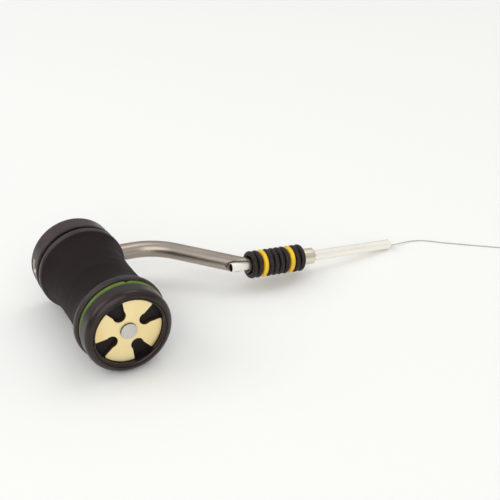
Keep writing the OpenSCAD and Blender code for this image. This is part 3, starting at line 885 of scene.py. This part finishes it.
# Metal with marks along the way it was drawn or turned, and slight changes of tone
def drawnMetal(name, look):
    material, tree, shader, where = startMaterial(name, Metallic=look.get("metallic", 1.0))
    if "turn" in look:
        mapped = addNode(tree, "ShaderNodeMapping", {"Rotation": look["turn"]})
        tree.links.new(where, mapped.inputs["Vector"])
        where = mapped.outputs[0]
    streaks = placeGroup(tree, drawnStreaks, where, {"Stretch": look["stretch"], "Scale": look["scale"]})
    mask = streaks.outputs["Mask"]
    tree.links.new(mixColours(tree, mask, look["dark"], look["light"]), shader.inputs["Base Color"])
    tree.links.new(spreadTo(tree, mask, *look["roughness"]), shader.inputs["Roughness"])
    bumpFrom(tree, shader, streaks.outputs["Height"], look["bump"], look["depth"])
    return material


# Colours are linear; a material drifts between its dark and its light one
warmSheen = (1, 0.84, 0.8, 1)
rubberBlack = grainyMaterial("rubberBlack", {
    "specular": 0.3, "tint": warmSheen,
    "dark": (0.013, 0.010, 0.010), "light": (0.024, 0.019, 0.019), "grain": 5000, "slow": 500,
    "roughness": (0.34, 0.5), "bump": 0.25, "depth": 0.00004})
rubberYellow = grainyMaterial("rubberYellow", {
    "dark": (0.80, 0.47, 0.012), "light": (0.92, 0.60, 0.02), "grain": 5000, "slow": 500,
    "roughness": (0.34, 0.46), "bump": 0.2, "depth": 0.00003})
rubberGreen = grainyMaterial("rubberGreen", {
    "dark": (0.085, 0.15, 0.010), "light": (0.12, 0.21, 0.016), "grain": 5000, "slow": 400,
    "roughness": (0.36, 0.5), "bump": 0.2, "depth": 0.00003})
rubberTyre = grainyMaterial("rubberTyre", {
    "specular": 0.5, "tint": warmSheen,
    "dark": (0.008, 0.005, 0.005), "light": (0.014, 0.009, 0.009), "grain": 3500, "slow": 260,
    "roughness": (0.26, 0.36), "bump": 0.25, "depth": 0.00004})
plasticBlack = grainyMaterial("plasticBlack", {
    "specular": 0.2, "tint": warmSheen,
    "dark": (0.010, 0.008, 0.009), "light": (0.018, 0.014, 0.016), "grain": 3500, "slow": 300,
    "roughness": (0.45, 0.6), "bump": 0.2, "depth": 0.00003})
plasticSpool = grainyMaterial("plasticSpool", {
    "specular": 0.4, "tint": warmSheen,
    "dark": (0.026, 0.020, 0.020), "light": (0.038, 0.030, 0.030), "grain": 2500, "slow": 300,
    "roughness": (0.28, 0.4), "bump": 0.15, "depth": 0.00003})
plasticWhite = grainyMaterial("plasticWhite", {
    "dark": (0.70, 0.69, 0.65), "light": (0.82, 0.81, 0.77), "grain": 3000, "slow": 500,
    "roughness": (0.4, 0.55), "bump": 0.15, "depth": 0.00003})
hubMetal = grainyMaterial("hubMetal", {
    "specular": 0.4, "tint": warmSheen,
    "dark": (0.026, 0.018, 0.017), "light": (0.042, 0.031, 0.029), "grain": 3200, "slow": 220,
    "roughness": (0.3, 0.42), "bump": 0.2, "depth": 0.00003})
armSteel = drawnMetal("armSteel", {
    "dark": (0.38, 0.32, 0.27), "light": (0.49, 0.43, 0.37), "stretch": (0.06, 0.06, 1), "scale": 3500,
    "roughness": (0.28, 0.4), "bump": 0.12, "depth": 0.00002})
tubeSteel = drawnMetal("tubeSteel", {
    "metallic": 0.2,
    "dark": (0.84, 0.80, 0.72), "light": (0.93, 0.90, 0.83), "stretch": (0.05, 1, 1), "scale": 3500,
    "turn": (0, math.radians(-tube["slope"]), 0),
    "roughness": (0.22, 0.34), "bump": 0.1, "depth": 0.00002})
screwSteel = drawnMetal("screwSteel", {
    "dark": (0.56, 0.54, 0.53), "light": (0.66, 0.64, 0.62), "stretch": (1, 1, 0.2), "scale": 1500,
    "roughness": (0.35, 0.5), "bump": 0.1, "depth": 0.00002})
brightSteel = drawnMetal("brightSteel", {
    "dark": (0.58, 0.58, 0.60), "light": (0.70, 0.70, 0.72), "stretch": (1, 0.08, 1), "scale": 2500,
    "roughness": (0.2, 0.32), "bump": 0.1, "depth": 0.00002})
wheelBrass = drawnMetal("wheelBrass", {
    "metallic": 0.6,
    "dark": (0.87, 0.68, 0.33), "light": (0.94, 0.80, 0.45), "stretch": (1, 1, 0.25), "scale": 900,
    "roughness": (0.34, 0.48), "bump": 0.12, "depth": 0.00002})
bushBronze = drawnMetal("bushBronze", {
    "dark": (0.50, 0.33, 0.16), "light": (0.66, 0.46, 0.24), "stretch": (1, 1, 1), "scale": 2600,
    "roughness": (0.4, 0.55), "bump": 0.2, "depth": 0.00003})


# Fades the colour along one axis of the object's own coordinates.
def fadeAlong(material, axis, first, second, colour):
    tree = material.node_tree
    parts = addNode(tree, "ShaderNodeSeparateXYZ")
    tree.links.new(addNode(tree, "ShaderNodeTexCoord").outputs["Object"], parts.inputs[0])
    fadeColour(tree, tree.nodes["Principled BSDF"], parts.outputs[axis], first, second, colour)


# Painted shade in the thread tube's bore: darker inside the bore's radius. A point's distance from the tube's
# line is |(point - start) x along|.
def paintBoreShade():
    tree = tubeSteel.node_tree
    where = addNode(tree, "ShaderNodeTexCoord").outputs["Object"]
    shift = addNode(tree, "ShaderNodeVectorMath", operation="SUBTRACT")
    across = addNode(tree, "ShaderNodeVectorMath", operation="CROSS_PRODUCT")
    length = addNode(tree, "ShaderNodeVectorMath", operation="LENGTH")
    shift.inputs[1].default_value = tubeStart
    across.inputs[1].default_value = tubeAlong
    tree.links.new(where, shift.inputs[0])
    tree.links.new(shift.outputs[0], across.inputs[0])
    tree.links.new(across.outputs[0], length.inputs[0])
    fadeColour(tree, tree.nodes["Principled BSDF"], length.outputs["Value"],
               *(tube["boreRadius"] + margin for margin in fades["boreShadeMargins"]), fades["bore"])


fades = {
    # painted shade: the sides of the notches and of the wheel darkened to dark brown
    "wheelSideShade": (0.10, 0.065, 0.025),      # the sides of the notches and of the wheel
    # painted shade: the side of the screw head, round its foot on the wheel, darkened
    "screwSideShade": (0.09, 0.06, 0.025),
    "openingEnd": (0.12, 0.095, 0.075),     # the end of the elbow's opening, in the shade of the first ring
    "armFront": (0.80, 0.73, 0.60),         # the polished end of the arm, in front of the rings
    # painted shade inside the thread tube's bore
    "bore": (0.03, 0.025, 0.02),
    "boreShadeMargins": (0.12 * mm, 0.04 * mm),
}
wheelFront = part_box("drag_wheel")[0].y
screwFront = wheelFront - screw["proud"]
openingX = axleX + arm["openEnd"] * tubeAlong[0]
ringsEnd = (tubeStart + (grip["start"] + (grip["count"] - 1) * grip["pitch"]) * tubeAlong)[0]
# Painted shade on the sides of the wheel's notches and rim, behind its front face.
fadeAlong(wheelBrass, "Y", wheelFront + 0.1 * mm, wheelFront + 0.25 * mm, fades["wheelSideShade"])
# Painted shade on the side of the screw head.
fadeAlong(screwSteel, "Y", screwFront + 0.1 * mm, screwFront + 0.2 * mm, fades["screwSideShade"])
fadeAlong(armSteel, "X", openingX - 0.55 * mm, openingX - 0.3 * mm, fades["openingEnd"])
fadeAlong(armSteel, "X", ringsEnd, ringsEnd + 1 * mm, fades["armFront"])
paintBoreShade()


# Silky wound thread: each turn is a fine ridge across the axle, with slow bands of lighter and darker lays
def woundMaterial():
    material, tree, shader, where = startMaterial("woundSilk", Specular_IOR_Level=0.12, Specular_Tint=warmSheen)
    streaks = placeGroup(tree, drawnStreaks, where, {"Stretch": (0.04, 1, 0.04), "Scale": 4200})
    mask = streaks.outputs["Mask"]
    colour = mixColours(tree, mask, (0.010, 0.0062, 0.0066), (0.018, 0.012, 0.012))
    tree.links.new(colour, shader.inputs["Base Color"])
    tree.links.new(spreadTo(tree, mask, 0.55, 0.7), shader.inputs["Roughness"])
    bumpFrom(tree, shader, streaks.outputs["Height"], 0.35, 0.00005)
    return material


# The same black thread where it lies loose, coloured pale grey: painted sheen against the light
def looseSheenMaterial():
    material, tree, shader, where = startMaterial("looseSilkSheen", Roughness=0.6)
    streaks = placeGroup(tree, drawnStreaks, where, {"Stretch": (1, 1, 1), "Scale": 6000})
    # Painted sheen: pale grey in place of the thread's black
    colour = mixColours(tree, streaks.outputs["Mask"], (0.40, 0.39, 0.37), (0.52, 0.51, 0.48))
    tree.links.new(colour, shader.inputs["Base Color"])
    bumpFrom(tree, shader, streaks.outputs["Height"], 0.3, 0.00003)
    return material


woundSilk = woundMaterial()
looseSilkSheen = looseSheenMaterial()


# One material all over a piece
def dress(piece, material):
    piece.data.materials.clear()
    piece.data.materials.append(material)


finishes = {
    armHub: hubMetal, armTube: armSteel, threadTube: tubeSteel,
    threadSpool: plasticSpool, woundThread: woundSilk, looseThread: looseSilkSheen,
    capTyre: rubberTyre, greenRing: rubberGreen,
    dragWheel: wheelBrass, dragScrew: screwSteel, dragSpring: brightSteel,
}
for piece, material in finishes.items():
    dress(piece, material)
for number, ring in enumerate(gripRings, 1):
    dress(ring, rubberYellow if number in grip["yellow"] else rubberBlack)
# CAD pieces that stay as they are and get a material
carried = {
    "axle": brightSteel, "thrust_washer": plasticWhite, "axle_clip": brightSteel,
    "spindle": brightSteel, "bush_far": bushBronze, "bush_near": bushBronze,
    "spindle_ring_far": rubberBlack, "spindle_ring_near": rubberBlack, "cap_core": plasticBlack,
    "stem_ring": rubberBlack, "drag_pad": plasticWhite,
}
for name, material in carried.items():
    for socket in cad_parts[name].material_slots:
        socket.material = material
print("finishes given")


# Table, lamps and world
studio = {
    "floorSize": 6.0,
    "floorDrop": 0.02 * mm,     # below the object's lowest point
    "floorColour": (0.96, 0.96, 0.94),
    "skyColour": (1, 1, 0.99),
    "skyStrength": 0.68,
    "horizonStrength": 0.3,
    "skyFrom": 0.45,            # sine of the height at which the sky is fully bright
    "lamps": [{"place": (-0.65, 0.35, 0.60), "size": 0.6, "watts": 1.8},
              {"place": (0.40, 0.10, 0.90), "size": 0.5, "watts": 1.0},
              {"place": (-0.46, -1.31, 0.85), "size": 1.5, "watts": 9.9}],
}


# A square table, three square lamps that face the object, and a sky that brightens with the sine of the height.
def makeStudio():
    half, level = studio["floorSize"] / 2, -studio["floorDrop"]
    mesh = bpy.data.meshes.new("table")
    corners = [(-half, -half, level), (half, -half, level), (half, half, level), (-half, half, level)]
    mesh.from_pydata(corners, [], [(0, 1, 2, 3)])
    floor = bpy.data.objects.new("table", mesh)
    scene.collection.objects.link(floor)
    paper, _, shader, _ = startMaterial("tablePaper", Roughness=0.9, Specular_IOR_Level=0.1)
    shader.inputs["Base Color"].default_value = (*studio["floorColour"], 1)
    dress(floor, paper)
    for lamp in studio["lamps"]:
        data = bpy.data.lights.new("softLamp", "AREA")
        data.size = lamp["size"]
        data.energy = lamp["watts"]
        light = bpy.data.objects.new("softLamp", data)
        light.location = lamp["place"]
        light.rotation_mode = "QUATERNION"
        light.rotation_quaternion = (-Vector(lamp["place"])).to_track_quat("-Z", "Y")
        scene.collection.objects.link(light)
    world = bpy.data.worlds.new("studioWorld")
    scene.world = world
    world.use_nodes = True
    tree = world.node_tree
    tree.nodes["Background"].inputs["Color"].default_value = (*studio["skyColour"], 1)
    direction = addNode(tree, "ShaderNodeSeparateXYZ")
    tree.links.new(addNode(tree, "ShaderNodeTexCoord").outputs["Generated"], direction.inputs[0])
    climb = addNode(tree, "ShaderNodeMapRange", {
        "From Min": 0, "From Max": studio["skyFrom"],
        "To Min": studio["horizonStrength"], "To Max": studio["skyStrength"]})
    tree.links.new(direction.outputs["Z"], climb.inputs["Value"])
    tree.links.new(climb.outputs[0], tree.nodes["Background"].inputs["Strength"])


makeStudio()
print("studio lit")
